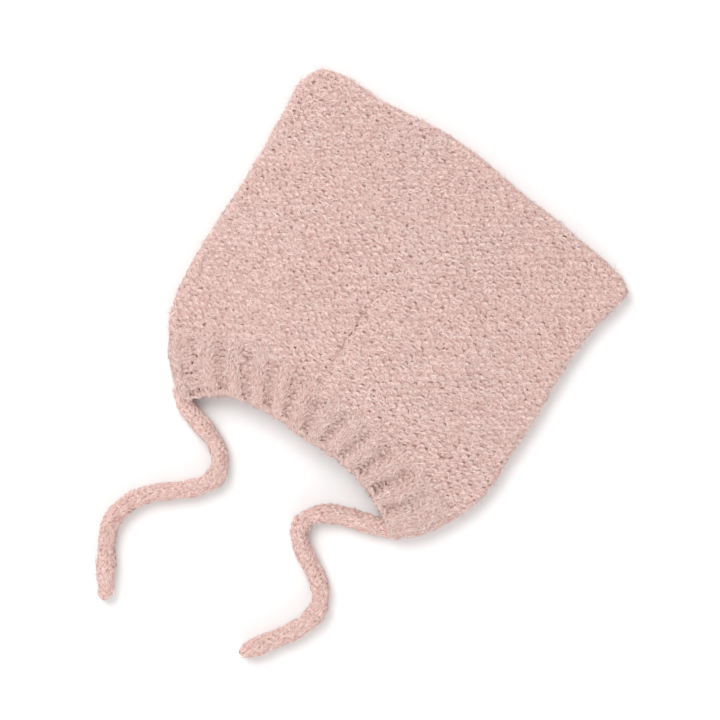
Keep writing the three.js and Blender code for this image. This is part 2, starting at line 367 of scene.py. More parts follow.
def side_profile(side, ear, flap):
    """The side edge between an ear and a flap: x at a y."""
    ys = np.arange(flap[1] + EDGE_STEP, ear[1], EDGE_STEP)
    xs = hits(whole, [(side * FAR, y, EDGE_HEIGHT) for y in ys], (-side, 0, 0), 0, np.nan)
    return Profile(np.r_[flap[1], ys, ear[1]], np.r_[flap[0], xs, ear[0]])


right_edge = side_profile(1, RIGHT_EAR, RIGHT_FLAP)
left_edge = side_profile(-1, LEFT_EAR, LEFT_FLAP)
top_places = np.arange(-TOP_REACH, TOP_REACH + 0.1, EDGE_STEP)
top_starts = [(x, FAR, EDGE_HEIGHT) for x in top_places]
top_edge = Profile(top_places, hits(whole, top_starts, (0, -1, 0), 1, np.nan))
mouth_places = np.linspace(LEFT_FLAP[0], RIGHT_FLAP[0], MOUTH_SAMPLES)
mouth_starts = [(x, -FAR, WALL / 2) for x in mouth_places]
mouth_edge = Profile(mouth_places, hits(whole, mouth_starts, (0, 1, 0), 1, np.nan))
seam_places, seam_offsets = np.array(SEAM_LINE[::-1], float).T


def seam_line(y):
    """The seam's x at a y."""
    return np.interp(y, seam_places, seam_offsets)


def seam_depth(y):
    """How deep the seam lies at a y."""
    return np.interp(y, *zip(*SEAM_DEPTHS))


def seam_groove(x, y):
    """How deep the centre seam pulls the upper layer in."""
    return seam_depth(y) * np.exp(-(((x - seam_line(y)) / SEAM_WIDTH) ** 2))


def below_top(x, y):
    """A place's y, or the y where the fabric begins to bend over the top, if it lies past that."""
    return np.minimum(y, top_edge(x) - TOP_ROUND)


def within_sides(x, y, past):
    """Whether places lie between the side edges, or less than this far past them."""
    return (x < right_edge(y) + past) & (x > left_edge(y) - past)


def sides_at(down):
    """The x of the left and the right edge at a share of the way from the ears to the flaps."""
    left_y, right_y = (ear + (flap - ear) * down for ear, flap in SIDE_ENDS)
    return left_edge(left_y), right_edge(right_y)


def crown_end(x):
    """Where the crown ends and the band begins: y at an x."""
    left, right = sides_at(BAND_START)
    across = np.clip((2 * x - left - right) / (right - left), -1, 1)
    top = top_edge(across * EAR_HALF)
    return top + BAND_START * (mouth_edge(MOUTH_MIDDLE + across * MOUTH_HALF) - top)


height_xs = np.arange(-GRID_REACH_X, GRID_REACH_X + 0.1, HEIGHT_STEP)
height_ys = np.arange(-GRID_REACH_Y, GRID_REACH_Y + 0.1, HEIGHT_STEP)


def sampled_heights():
    """The top of the solids over a grid. Places past a fold or an edge are taken from inside it."""
    xs, ys = np.meshgrid(height_xs, height_ys, indexing="ij")
    ys = np.minimum(ys, top_edge(xs) - TOP_ROUND - TOP_MARGIN)
    ys = np.maximum(ys, mouth_edge(xs) + MOUTH_MARGIN)
    inside = FOLD_RADIUS + SIDE_MARGIN
    xs = np.clip(xs, left_edge(ys) + inside, right_edge(ys) - inside)
    starts = np.stack([xs, ys, np.full_like(xs, FAR)], axis=-1).reshape(-1, 3)
    found = hits(whole, starts, (0, 0, -1), 2, 2 * FOLD_RADIUS).reshape(xs.shape)
    # The ribs and the seam's groove are smoothed away here, and come back with the stitches.
    found = np.apply_along_axis(smooth, 0, found, PASSES_ACROSS)
    return np.apply_along_axis(smooth, 1, found, PASSES_ALONG)


heights = sampled_heights()


def height_at(x, y):
    """The sampled top of the fabric, between the grid's places."""
    gx = np.clip((x - height_xs[0]) / HEIGHT_STEP, 0, len(height_xs) - GRID_END)
    gy = np.clip((y - height_ys[0]) / HEIGHT_STEP, 0, len(height_ys) - GRID_END)
    ix, iy = gx.astype(int), gy.astype(int)
    fx, fy = gx - ix, gy - iy
    low = heights[ix, iy] * (1 - fx) + heights[ix + 1, iy] * fx
    high = heights[ix, iy + 1] * (1 - fx) + heights[ix + 1, iy + 1] * fx
    return low * (1 - fy) + high * fy


# Laying flat knitting over the solids


def on_crown(layer, xi, eta):
    """Where a place of the flat fabric lies: it runs level, then bends round the folds and top."""
    level_y = below_top(xi, eta)
    level_x = np.clip(xi, left_edge(level_y) + FOLD_RADIUS, right_edge(level_y) - FOLD_RADIUS)
    side_turn = np.clip((xi - level_x) / FOLD_ARC, -MOST_TURNED, MOST_TURNED) * QUARTER_TURN
    x = level_x + FOLD_RADIUS * np.sin(side_turn)
    level_y = below_top(x, eta)
    top_turn = np.clip((eta - level_y) / TOP_ARC, 0, MOST_TURNED) * QUARTER_TURN
    y = level_y + TOP_ROUND * np.sin(top_turn)
    face = height_at(level_x, level_y) if layer > 0 else np.zeros_like(x)
    share = np.cos(side_turn) * np.cos(top_turn)
    # Past a fold the upper layer runs on over the lower one.
    past_fold = (layer > 0) & (share < 0)
    z = FOLD_RADIUS + np.where(past_fold, FOLD_RADIUS, face - FOLD_RADIUS) * share
    return np.stack([x, y, z], axis=-1)


def on_tube(layer, column, down, depth=0.0):
    """A place of the tube, by column from the left fold to the right and share of its length."""
    left, right = sides_at(down)
    middle, half = (left + right) / 2, (right - left) / 2
    past = np.maximum(np.abs(column) - LEVEL_COLUMNS, 0) / FOLD_COLUMNS
    side_turn = np.sign(column) * np.minimum(past, 1) * QUARTER_TURN
    level_x = middle + np.clip(column / LEVEL_COLUMNS, -1, 1) * (half - FOLD_RADIUS)
    x = level_x + (FOLD_RADIUS - depth) * np.sin(side_turn)
    across = np.clip((x - middle) / half, -1, 1)
    top = top_edge(across * EAR_HALF) - depth
    mouth = mouth_edge(MOUTH_MIDDLE + across * MOUTH_HALF)
    y = top + down * (mouth - top)
    rounding = np.sqrt(1 - (1 - np.clip((top - y) / TOP_ROUND, 0, 1)) ** 2)
    face = height_at(level_x, y) - depth if layer > 0 else depth
    z = FOLD_RADIUS + (face - FOLD_RADIUS) * np.cos(side_turn) * rounding
    return np.stack([x, y, z], axis=-1)


def with_normals(place_of, u, v, outward, steps):
    """Places on a surface, and its unit normals on the side that outward says."""
    along_u = place_of(u + steps[0], v) - place_of(u - steps[0], v)
    along_v = place_of(u, v + steps[1]) - place_of(u, v - steps[1])
    normal = np.cross(along_u, along_v) * outward
    length = np.linalg.norm(normal, axis=-1, keepdims=True)
    normal = np.where(length > 1e-6, normal / np.maximum(length, 1e-6), UP)
    return place_of(u, v), normal


# Making meshes


def unit(vectors):
    """The same directions with a length of 1."""
    return vectors / np.maximum(np.linalg.norm(vectors, axis=-1, keepdims=True), 1e-9)


def quads(rows, columns, closed=False):
    """The faces of a grid of points, and each one's row and column. Closed joins its two sides."""
    steps = range(columns if closed else columns - 1)
    r, c = (grid.ravel() for grid in np.meshgrid(range(rows - 1), steps, indexing="ij"))
    here, next_row, after = r * columns, (r + 1) * columns, (c + 1) % columns
    return np.stack([here + c, here + after, next_row + after, next_row + c], axis=1), r, c


class Mesh:
    """A growing mesh of tubes, ribbons and sheets in millimetres, made into one object."""

    def __init__(self):
        self.points, self.corners, self.sizes, self.uvs = [], [], [], []
        self.count = 0

    def add(self, points, faces, uvs):
        """Faces with the same number of corners each, and one UV for each corner."""
        self.points.append(points.reshape(-1, 3))
        self.corners.append((faces + self.count).ravel())
        self.sizes.append(np.full(len(faces), faces.shape[1]))
        self.uvs.append(uvs.reshape(-1, 2))
        self.count += len(self.points[-1])

    def tube(self, centres, normals, radii, sides):
        """A closed tube along centres, with each ring's first corner towards its normal."""
        rings = len(centres)
        along = unit(np.gradient(centres, axis=0))
        aside = unit(np.cross(along, normals))
        above = np.cross(aside, along)
        turns = np.arange(sides) / sides * FULL_TURN
        ring = np.cos(turns)[:, None] * above[:, None] + np.sin(turns)[:, None] * aside[:, None]
        points = centres[:, None] + ring * np.broadcast_to(radii, rings)[:, None, None]
        lengths = np.linalg.norm(np.diff(centres, axis=0), axis=1)
        distance = np.append(0, np.cumsum(lengths))
        faces, r, s = quads(rings, sides, closed=True)
        u = np.stack([distance[r], distance[r], distance[r + 1], distance[r + 1]], axis=1)
        v = np.stack([s, s + 1, s + 1, s], axis=1) / sides
        self.add(points, faces, np.stack([u, v], axis=-1))
        cap = np.arange(sides)
        caps = np.stack([cap[::-1], cap + (rings - 1) * sides]) - rings * sides
        self.add(NO_POINTS, caps, np.zeros((2, sides, 2)))

    def sheet(self, points, faces_out):
        """A grid of points as a sheet that faces out, or in."""
        faces = quads(*points.shape[:2])[0]
        faces = faces if faces_out else faces[:, ::-1]
        flat = points.reshape(-1, 3)
        self.add(flat, faces, flat[faces][..., :2])

    def build(self, name, material, welded=False):
        """An object in the scene. Welded joins the corners of sheets that meet."""
        mesh = bpy.data.meshes.new(name)
        points = np.concatenate(self.points) * MM
        corners, sizes = np.concatenate(self.corners), np.concatenate(self.sizes)
        mesh.vertices.add(len(points))
        mesh.vertices.foreach_set("co", points.astype(np.float32).ravel())
        mesh.loops.add(len(corners))
        mesh.loops.foreach_set("vertex_index", corners.astype(np.int32))
        mesh.polygons.add(len(sizes))
        starts = np.append(0, np.cumsum(sizes)[:-1])
        mesh.polygons.foreach_set("loop_start", starts.astype(np.int32))
        mesh.polygons.foreach_set("use_smooth", np.ones(len(sizes), bool))
        layer = mesh.uv_layers.new(name="yarn")
        layer.data.foreach_set("uv", np.concatenate(self.uvs).astype(np.float32).ravel())
        mesh.update(calc_edges=True)
        mesh.validate()
        if welded:
            built = bmesh.new()
            built.from_mesh(mesh)
            bmesh.ops.remove_doubles(built, verts=built.verts, dist=WELD_DISTANCE * MM)
            bmesh.ops.dissolve_degenerate(built, edges=built.edges, dist=SLIVER * MM)
            built.to_mesh(mesh)
            built.free()
        mesh.materials.append(material)
        made = bpy.data.objects.new(name, mesh)
        bpy.context.scene.collection.objects.link(made)
        return made

    def piece(self, name, material, slot, replaced=(), welded=False):
        """A piece of the visual model, on the one body."""
        piece = self.build(name, material, welded)
        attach(piece, "root")
        if replaced:
            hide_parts(*replaced)
        return piece


# Knitting


def loop_path(columns, steps, widening):
    """One row's loops, each with its steps: place in columns, loop, turn from -pi to pi within it,
    and where the yarn runs, in columns along the row and shares of a loop's half height up."""
    points = [column + np.arange(count) / count for column, count in zip(columns, steps)]
    tau = np.concatenate([*points, [columns[-1] + 1]])
    which = np.minimum(np.searchsorted(columns, tau, side="right") - 1, len(columns) - 1)
    turn = (tau - columns[which]) * FULL_TURN - math.pi
    along = columns[which] + 0.5 + turn / FULL_TURN + widening * np.sin(2 * turn)
    up = np.cos(turn)
    return tau, which, turn, along, np.sign(up) * np.abs(up) ** LOOP_FLATNESS


def loop_lift(turn, which, heads, legs):
    """How far the yarn stands out along its loops, from how far each one's head and legs do."""
    near_head = np.abs(turn) < QUARTER_TURN
    sinks = (heads[:-1] + heads[1:] + legs[:-1] + legs[1:]) / 4
    sinks = np.concatenate([[0], sinks, [0]])
    sink = np.where(turn > 0, sinks[which + 1], sinks[which])
    share = np.cos(turn) ** 2
    return legs[which] * (1 - share) + np.where(near_head, heads[which], sink) * share


def runs(columns, kept):
    """The unbroken runs of kept columns, of two or more."""
    breaks = np.flatnonzero(np.diff(columns[kept]) > 1) + 1
    return [run for run in np.split(columns[kept], breaks) if len(run) > 1]


def drifting(generator, kinds, columns, tau):
    """Random values of each kind for each loop, which run into one another along the yarn."""
    values = generator.normal(0, 1, (kinds, len(columns)))
    return [np.interp(tau, columns + 0.5, kind) for kind in values]


def lumpy(centres, radius):
    """The same yarn, made uneven: thicker and thinner along its length, and wandering a little."""
    rough = smooth(rng.normal(0, 1, (len(centres), 4)), 1)
    centres = centres + rough[:, :3] * YARN_WANDER
    radius = radius * np.clip(1 + rough[:, 3] * YARN_LUMPS, LEAST_LUMP, MOST_LUMP)
    centres[:, 2] = np.maximum(centres[:, 2], radius + FLOOR_GAP)
    return centres, radius


class Roots:
    """Places on the outermost yarn where loose fibres may start, with normals and headings."""

    def __init__(self):
        self.rows = []

    def add(self, centres, normals, radius, chosen):
        """The chosen places of a yarn."""
        heading = unit(np.gradient(centres, axis=0))
        starts = centres + normals * (radius * FIBRE_ROOT)
        self.rows.append(np.hstack([starts, normals, heading])[chosen])

    def pick(self, count):
        """Random places, normals and headings."""
        rows = np.concatenate(self.rows)
        return np.split(rows[rng.integers(0, len(rows), count)], 3, axis=1)


def waves(x, y, seed, length):
    """A smooth uneven field of about -1 to 1, whose waves are about this long."""
    shape = np.random.default_rng(seed)
    total = np.zeros(np.broadcast(x, y).shape)
    for _ in range(WAVE_COUNT):
        heading = shape.uniform(0, FULL_TURN)
        pitch = FULL_TURN / (length * shape.uniform(SHORTEST_WAVE, LONGEST_WAVE))
        phase = shape.uniform(0, FULL_TURN)
        total += np.sin(pitch * (x * math.cos(heading) + y * math.sin(heading)) + phase)
    return total / math.sqrt(WAVE_COUNT)


def slack(y, x):
    """How much the seam's sideways course moves a place: all of it at the seam, none at a fold."""
    return seam_line(y) * np.clip(1 - np.abs(x) / EAR_HALF, 0, 1)


def moss_row(mesh, roots, layer, side, row, detail):
    """One row of the crown. Side is 1 or -1 for the half right or left of the seam, 0 for both."""
    base = ROW_START + (row + (0.5 if side > 0 else 0)) * ROW_HEIGHT + rng.normal(0, ROW_JITTER)
    gap = side * (SEAM_GAP * seam_depth(base) - SEAM_OVERLAP + rng.normal(0, GAP_JITTER))
    smile = SMILE * np.clip((SMILE_TOP - base) / SMILE_FADE, 0, 1) ** SMILE_POWER

    def flat(along, up):
        """Flat places of the fabric for columns along the row and shares of a loop's height."""
        xi = along * STITCH_WIDTH + gap
        eta = base + up * LOOP_HALF_HEIGHT + ROW_TILT * xi + smile * xi**2 / 2
        eta = eta + LEVEL_WAVE * waves(xi, eta, LEVEL_SEED, LEVEL_LENGTH)
        drift = ASIDE_WAVE * waves(xi, eta, ASIDE_SEED, ASIDE_LENGTH)
        xi = xi + drift * np.clip(np.abs(xi) / ASIDE_FADE, 0, 1)
        if layer > 0:
            xi = xi + slack(eta, xi)
        return xi, eta

    reach = int(ROW_REACH / STITCH_WIDTH)
    columns = np.arange(0 if side > 0 else -reach, 0 if side < 0 else reach)
    xi, eta = flat(columns + 0.5, np.zeros(len(columns)))
    x = on_crown(layer, xi, eta)[:, 0]
    fold_past_edge = FOLD_ARC - FOLD_RADIUS
    kept = within_sides(xi, below_top(x, eta), fold_past_edge + STITCH_WIDTH / 2)
    kept &= eta > crown_end(x) - ROW_HEIGHT * BAND_OVERLAP
    kept &= eta < top_edge(x) - TOP_ROUND + TOP_ARC
    front_points, back_points, sides = detail
    for run in runs(columns, kept):
        front = (run + row) % 2 == 0
        steps = np.where(front, front_points, back_points)
        tau, which, turn, along, up = loop_path(run, steps, MOSS_WIDENING)
        aside, taller, thicker, deeper, higher = drifting(rng, 5, run, tau)
        up = up * (1 + MOSS_TALLER * taller) + MOSS_HIGHER * higher
        xi, eta = flat(along + MOSS_ASIDE * aside, up)
        heads = np.where(front, FRONT_HEAD, BACK_LIFT) + rng.normal(0, HEAD_JITTER, len(run))
        lift = loop_lift(turn, which, heads, np.where(front, FRONT_LEG, BACK_LIFT))
        places, normals = with_normals(
            lambda u, v: on_crown(layer, u, v), xi, eta, layer, CROWN_PROBE
        )
        swell = SWELL_WAVE * waves(xi, eta, SWELL_SEED + row, SWELL_LENGTH)
        thickness = np.clip(1 + MOSS_THICKER * thicker + swell, MOSS_THINNEST, MOSS_THICKEST)
        sunk = CENTRE_DEPTH + MOSS_DEEPER * deeper
        if layer > 0 and side:
            sunk = sunk + seam_groove(xi, eta)
        lift = lift * (FOLD_LIFT + (1 - FOLD_LIFT) * np.abs(normals[:, 2]))
        centres = places + normals * (lift - sunk)[:, None]
        centres, radius = lumpy(centres, YARN_RADIUS * thickness)
        level_y = below_top(xi, eta)
        overrun = np.where(eta > level_y + EAR_ROUNDING, EAR_OVERRUN, FOLD_OVERRUN)
        inside = np.flatnonzero(within_sides(xi, level_y, fold_past_edge + overrun))
        shown = slice(inside[0], inside[-1] + 1)
        mesh.tube(centres[shown], normals[shown], radius[shown], sides)
        roots.add(centres[shown], normals[shown], radius[shown, None], lift[shown] > 0)


def cad_column(layer, column):
    """A column as the solids count it, from the right fold over the upper layer and back below."""
    return QUARTER_COLUMNS - column if layer > 0 else 3 * QUARTER_COLUMNS + column


def rib_relief(layer, column):
    """How far the band is sunk, from 0 to 1: two raised stitches, then two sunk ones."""
    turn = (cad_column(layer, column) - 1) * QUARTER_TURN
    return (0.5 - 0.5 * np.cos(turn)) ** RIB_ROUNDNESS


def rib_strength(column):
    """How much of their full depth the ribs have at a column: little towards the side folds."""
    return np.clip((QUARTER_COLUMNS - np.abs(column)) / FLATTER_RIBS, LEAST_RIB, 1)


def coming_in(share, over):
    """From 0 just above the band to 1, over a share of the band's depth."""
    return np.clip((share + BAND_EARLY) / over, 0, 1)


def knit_band(mesh, roots):
    """Two-by-two rib round the tube, in rows that fan out between the crown and the mouth."""
    columns = np.arange(-QUARTER_COLUMNS, QUARTER_COLUMNS)
    steps = np.full(len(columns), LOOP_POINTS)
    for layer in (1, -1):
        knit = np.isin(np.floor(cad_column(layer, columns + 0.5)) % 4, (0, 1))
        raised = np.where(knit, RIB_LIFT, -RIB_LIFT) * rib_strength(columns + 0.5)
        for row in range(-1, BAND_ROWS):
            tau, which, turn, along, up = loop_path(columns, steps, RIB_WIDENING)
            aside, taller, thicker, deeper = drifting(rng, 4, columns, tau)
            up = up * RIB_LOOP_HALF_HEIGHT / RIB_ROW * (1 + RIB_TALLER * taller)
            share = (row + 0.5 - up) / BAND_ROWS
            down = BAND_START + (1 - BAND_START) * np.clip(share, BAND_FIRST, 1)
            place = along + RIB_ASIDE * aside
            lift = loop_lift(turn, which, -raised, raised)
            places, normals = with_normals(
                lambda u, v: on_tube(layer, u, v), place, down, -layer, TUBE_PROBE
            )
            strength = rib_strength(place)
            thickness = np.clip(1 + RIB_THICKER * thicker, RIB_THINNEST, RIB_THICKEST)
            radius = RIB_YARN_RADIUS * (1 + FLAP_YARN * (1 - strength)) * thickness
            pull = RIB_PULL * rib_relief(layer, place) * coming_in(share, RIB_COMES_IN) * strength
            rise = BAND_RISE * coming_in(share, RISE_COMES_IN)
            puff = FLAP_PUFF * (1 - strength) ** 2 * coming_in(share, PUFF_COMES_IN)
            sunk = CENTRE_DEPTH + pull - rise + RIB_DEEPER * deeper - puff
            centres, radius = lumpy(places + normals * (lift - sunk)[:, None], radius)
            mesh.tube(centres, normals, radius, YARN_SIDES)
            roots.add(centres, normals, radius[:, None], lift > RIB_FIBRES_ABOVE)


def knit_backing():
    """The wall under the yarn, closed at the top and open at the mouth, with stitches inside."""
    mesh = Mesh()
    columns = np.arange(-QUARTER_COLUMNS, QUARTER_COLUMNS + 0.01, BACKING_STEP)
    deep = [np.linspace(*rows, endpoint=False) for rows in BACKING_ROWS]
    column, down = np.meshgrid(columns, np.concatenate([*deep, [1]]))
    banded = np.clip((down - BAND_START) / BACKING_RIBS_START, 0, 1)
    for layer in (1, -1):
        relief = rib_relief(layer, column) * banded * rib_strength(column)
        shown = on_tube(layer, column, down, BACKING_DEPTH)
        groove = seam_groove(shown[..., 0], shown[..., 1]) * (1 - banded) if layer > 0 else 0
        shown = on_tube(layer, column, down, BACKING_DEPTH + BACKING_RIB_DEPTH * relief + groove)
        mesh.sheet(shown, layer < 0)
        moss = np.sin(column * math.pi) * np.cos(down * LINING_ROWS * math.pi) * LINING_RELIEF
        depth = LINING_DEPTH + RIB_HEIGHT * relief + moss * (1 - banded)
        lined = on_tube(layer, column, down, depth)
        lined[..., 1] -= (WALL - BACKING_DEPTH) * (1 - down)
        mesh.sheet(lined, layer > 0)
        mesh.sheet(np.stack([shown[-1], lined[-1]]), layer < 0)
    return mesh


def mouth_chain(mesh, roots):
    """The cast-on edge round the mouth, as a chain of small slanting loops."""
    columns = np.arange(-QUARTER_COLUMNS, QUARTER_COLUMNS, CHAIN_STEP)
    for strand in (0, 0.5):
        places = []
        for layer, order in ((1, columns), (-1, columns[::-1])):
            turn = (order * layer + strand) * FULL_TURN
            depth = CHAIN_DEPTH + CHAIN_HALF_DEPTH * np.sin(turn)
            ring = on_tube(layer, order, np.ones(len(order)), depth)
            out = CHAIN_OUT + CHAIN_HALF_HEIGHT * np.cos(turn)
            ring[:, 1] += CHAIN_RELIEF * rib_relief(layer, order) - out
            apart = CHAIN_LAYERS_APART * layer + CHAIN_STRANDS_APART * strand
            for axis, amount, seed, length in CHAIN_WAVES:
                ring[:, axis] += amount * waves(ring[:, 0], apart, seed, length)
            places.append(ring)
        centres = np.concatenate(places)
        swell = waves(centres[:, 0], centres[:, 2], CHAIN_SWELL_SEED, CHAIN_SWELL_LENGTH)
        centres, radius = lumpy(centres, RIB_YARN_RADIUS * (CHAIN_YARN + CHAIN_SWELL * swell))
        normals = np.tile([0.0, -1.0, 0.0], (len(centres), 1))
        mesh.tube(centres, normals, radius, YARN_SIDES)
        roots.add(centres, normals, radius[:, None], radius > 0)


def top_stitching():
    """The yarn that sews the top edge shut, winding over it from layer to layer."""

    def uneven(x, y, amount, seed, length):
        return amount * waves(x, y, seed, length)

    mesh = Mesh()
    x = np.arange(LEFT_EAR[0] + SEWN_FROM, RIGHT_EAR[0] - SEWN_TO, SEWING_STEP)
    turn = x / SEWING_PITCH * FULL_TURN + uneven(x, 0, *SEWING_TURN_WAVE)
    y = top_edge(x) - SEWING_BELOW_TOP + uneven(x, 0, *SEWING_LEVEL_WAVE)
    above = FOLD_RADIUS + SEWING_HALF_DEPTH * np.sin(turn)
    centres = np.stack([x, y + SEWING_HALF_WIDTH * np.cos(turn), above], axis=1)
    inside = np.stack([x, y - SEWING_NORMALS_BELOW, np.full_like(y, FOLD_RADIUS)], axis=1)
    normals = unit(centres - inside)
    radius = YARN_RADIUS * (SEWING_YARN + uneven(x, y, *SEWING_SWELL))
    mesh.tube(centres, normals, radius, YARN_SIDES)
    return mesh, centres, normals


# The ties


def smooth_route(route):
    """Points every half millimetre or so on a smooth curve through a route and on to its tip."""
    points = np.array(route, float)
    tip = points[-1] + unit(points[-1] - points[-2]) * TIE_DIAMETER / 2
    ends = np.concatenate([[2 * points[0] - points[1]], points, [tip, 2 * tip - points[-1]]])
    curve = []
    for before, start, end, after in zip(ends, ends[1:], ends[2:], ends[3:]):
        t = np.linspace(0, 1, ROUTE_STEPS, endpoint=False)[:, None]
        bend = 2 * before - 5 * start + 4 * end - after
        curl = -before + 3 * start - 3 * end + after
        curve.append(start + 0.5 * ((end - before) * t + bend * t**2 + curl * t**3))
    curve = np.concatenate([*curve, [tip]])
    return np.column_stack([curve, np.full(len(curve), TIE_HEIGHT)])


def knit_tie(route, swelling, seed):
    """A narrow cord knitted in the round: a row of loops winds along it, over a soft core."""
    mesh, roots = Mesh(), Roots()
    path = smooth_route(route)
    lengths = np.append(0, np.cumsum(np.linalg.norm(np.diff(path, axis=0), axis=1)))
    total = lengths[-1]

    def at(s):
        """The point of the tie's centre line at a length along it."""
        return np.stack([np.interp(s, lengths, path[:, axis]) for axis in range(3)], axis=-1)

    def along_path(s):
        """The point at a length along the tie, and the direction to its side."""
        s = np.clip(s, 0, total)
        return at(s), unit(np.cross(at(s + TIE_HEADING_REACH) - at(s - TIE_HEADING_REACH), UP))

    def tapered(s):
        """The share of its full radius here: the tie closes round at its tip and in the flap."""
        tip = np.clip((s - (total - TIE_DIAMETER / 2)) / (TIE_DIAMETER / 2), 0, TIE_TIP_CLOSED)
        root = np.clip(1 - s / TIE_ROOT_TAPER, 0, TIE_ROOT_CLOSED)
        return np.sqrt(1 - tip**2) * np.sqrt(1 - root**2)

    count = int((total - TIE_ROW * TIE_END_ROW) / TIE_ROW * TIE_STITCHES)
    columns = np.arange(count)
    tau, which, turn, along, up = loop_path(columns, np.full(count, LOOP_POINTS), TIE_WIDENING)
    taller, lifted, thicker, aside = drifting(np.random.default_rng(seed), 4, columns, tau)
    up = up * TIE_ROW * TIE_REACH_UP * (1 + TIE_TALLER * taller)
    s = tau / TIE_STITCHES * TIE_ROW + up
    twist = TIE_TWIST * waves(s, 0, seed, TIE_TWIST_LENGTH)
    angle = (along + TIE_ASIDE * aside) / TIE_STITCHES * FULL_TURN + twist
    lift = loop_lift(turn, which, np.full(count, TIE_HEAD), np.full(count, TIE_LEG))
    lift = lift + TIE_LIFTED * lifted
    centre, side = along_path(s)
    outward = np.cos(angle)[:, None] * UP + np.sin(angle)[:, None] * side
    swell = 1 + swelling * np.exp(-((s / TIE_SWELL_LENGTH) ** 2))
    bulge = TIE_BULGE * waves(s, 0, seed + 1, TIE_BULGE_LENGTH)
    reach = (TIE_CENTRE_RADIUS * swell + lift + bulge) * tapered(s)
    centres = centre + outward * reach[:, None]
    centres, radius = lumpy(centres, TIE_YARN_RADIUS * (1 + TIE_THICKER * thicker))
    mesh.tube(centres, outward, radius, YARN_SIDES)
    roots.add(centres, outward, radius[:, None], lift > 0)
    core = np.arange(0, total - CORE_SHORT, CORE_STEP)
    core_radius = TIE_CENTRE_RADIUS * tapered(core) * CORE_FULLER
    mesh.tube(along_path(core)[0], np.tile(UP, (len(core), 1)), core_radius, CORE_SIDES)
    return mesh, roots, path, total


# The brushed surface


def fuzz(roots, count, longest, stray_share, stray_reach, brushed=0.0):
    """Loose fibres that lie about on the yarn, mostly its own way: narrow ribbons that curve and
    end in a point. Brushed is how strongly they lie along the rows of the crown instead."""
    mesh = Mesh()
    each = (count, 1)
    root, normal, heading = roots.pick(count)
    heading = heading * np.where(heading[:, :1] < 0, -1, 1) + brushed * ROW_HEADING
    heading = unit(heading - normal * np.sum(heading * normal, axis=1, keepdims=True))
    aside = unit(np.cross(normal, heading))
    turn = rng.normal(0, FIBRE_TURN, each) + math.pi * rng.integers(0, 2, each)
    heading = unit(heading * np.cos(turn) + aside * np.sin(turn))
    aside = unit(np.cross(normal, heading))
    length = longest * rng.uniform(SHORTEST_FIBRE, 1, each) ** FIBRE_LENGTH_POWER
    curl = rng.normal(0, FIBRE_CURL, each) * length
    rise = rng.uniform(LEAST_RISE, MOST_RISE, each)
    strays = rng.random(each) < stray_share
    stray = np.where(strays, rng.uniform(LEAST_STRAY, 1, each) * stray_reach, 0)
    width = FIBRE_WIDTH * rng.uniform(THINNEST_FIBRE, THICKEST_FIBRE, each) / 2
    width = width * np.where(rng.random(each) < WISP_SHARE, WISP_WIDENING, 1)
    wide = unit(aside + normal * rng.normal(0, FIBRE_TWIST, each)) * width
    points = []
    for share, narrowing in FIBRE_SHAPE:
        lifted = rise * math.sin(math.pi * share) + (stray - STRAY_SINK) * share**STRAY_POWER
        place = root + heading * length * share + aside * curl * share**2 + normal * lifted
        points += [place + wide * narrowing, place - wide * narrowing] if narrowing else [place]
    points = np.stack(points, axis=1)
    points[..., 2] = np.maximum(points[..., 2], FIBRE_FLOOR)
    first = np.arange(count)[:, None] * FIBRE_CORNERS
    shade = rng.random((count, 1, 1)) * np.ones((1, 4, 2))
    mesh.add(points, first + np.array([[0, 1, 3, 2]]), shade)
    first = first - count * FIBRE_CORNERS
    mesh.add(NO_POINTS, first + np.array([[2, 3, 5, 4]]), shade)
    mesh.add(NO_POINTS, first + np.array([[4, 5, 6]]), shade[:, :3])
    return mesh


# Materials


def linear(red, green, blue):
    """A colour of the screen, 0 to 255, as the light that it stands for."""
    shares = np.array([red, green, blue]) / 255
    return (*np.where(shares > 0.04045, ((shares + 0.055) / 1.055) ** 2.4, shares / 12.92), 1.0)


class Nodes:
    """A short way to add nodes to a material and join them up."""

    def __init__(self, name):
        self.material = bpy.data.materials.new(name)
        self.material.use_nodes = True
        self.tree = self.material.node_tree
        places = self.add("ShaderNodeTexCoord")
        self.object, self.uv = places.outputs["Object"], places.outputs["UV"]

    def add(self, kind, settings=None, **inputs):
        """A node with its settings, and with inputs that are values or other nodes' sockets."""
        made = self.tree.nodes.new(kind)
        for name, value in (settings or {}).items():
            setattr(made, name, value)
        for name, value in inputs.items():
            self.put(made, name.replace("_", " "), value)
        return made

    def put(self, made, name, value):
        """One input of a node, by name or number."""
        if isinstance(value, bpy.types.NodeSocket):
            self.tree.links.new(value, made.inputs[name])
        else:
            made.inputs[name].default_value = value

    def surface(self, **inputs):
        """Inputs of the material's shader."""
        for name, value in inputs.items():
            self.put(self.tree.nodes["Principled BSDF"], name.replace("_", " "), value)

    def noise(self, vector, scale, detail, stretch=(1, 1, 1)):
        """A noise between 0 and 1, over places in metres or a UV in millimetres."""
        placed = self.add("ShaderNodeMapping", Vector=vector, Scale=stretch).outputs["Vector"]
        made = self.add("ShaderNodeTexNoise", Vector=placed, Scale=scale, Detail=detail)
        return made.outputs["Fac"]

    def ramp(self, value, *stops):
        """A value between 0 and 1 as a colour that runs through stops of a place and a colour."""
        made = self.add("ShaderNodeValToRGB", Fac=value)
        for i, (place, colour) in enumerate(stops):
            stop = made.color_ramp.elements[i] if i < 2 else made.color_ramp.elements.new(place)
            stop.position, stop.color = place, colour
        return made.outputs["Color"]

    def mix(self, kind, share, first, second):
        """Two colours blended."""
        made = self.add("ShaderNodeMix", {"data_type": "RGBA", "blend_type": kind})
        for socket, value in ((0, share), (6, first), (7, second)):
            self.put(made, socket, value)
        return made.outputs[2]


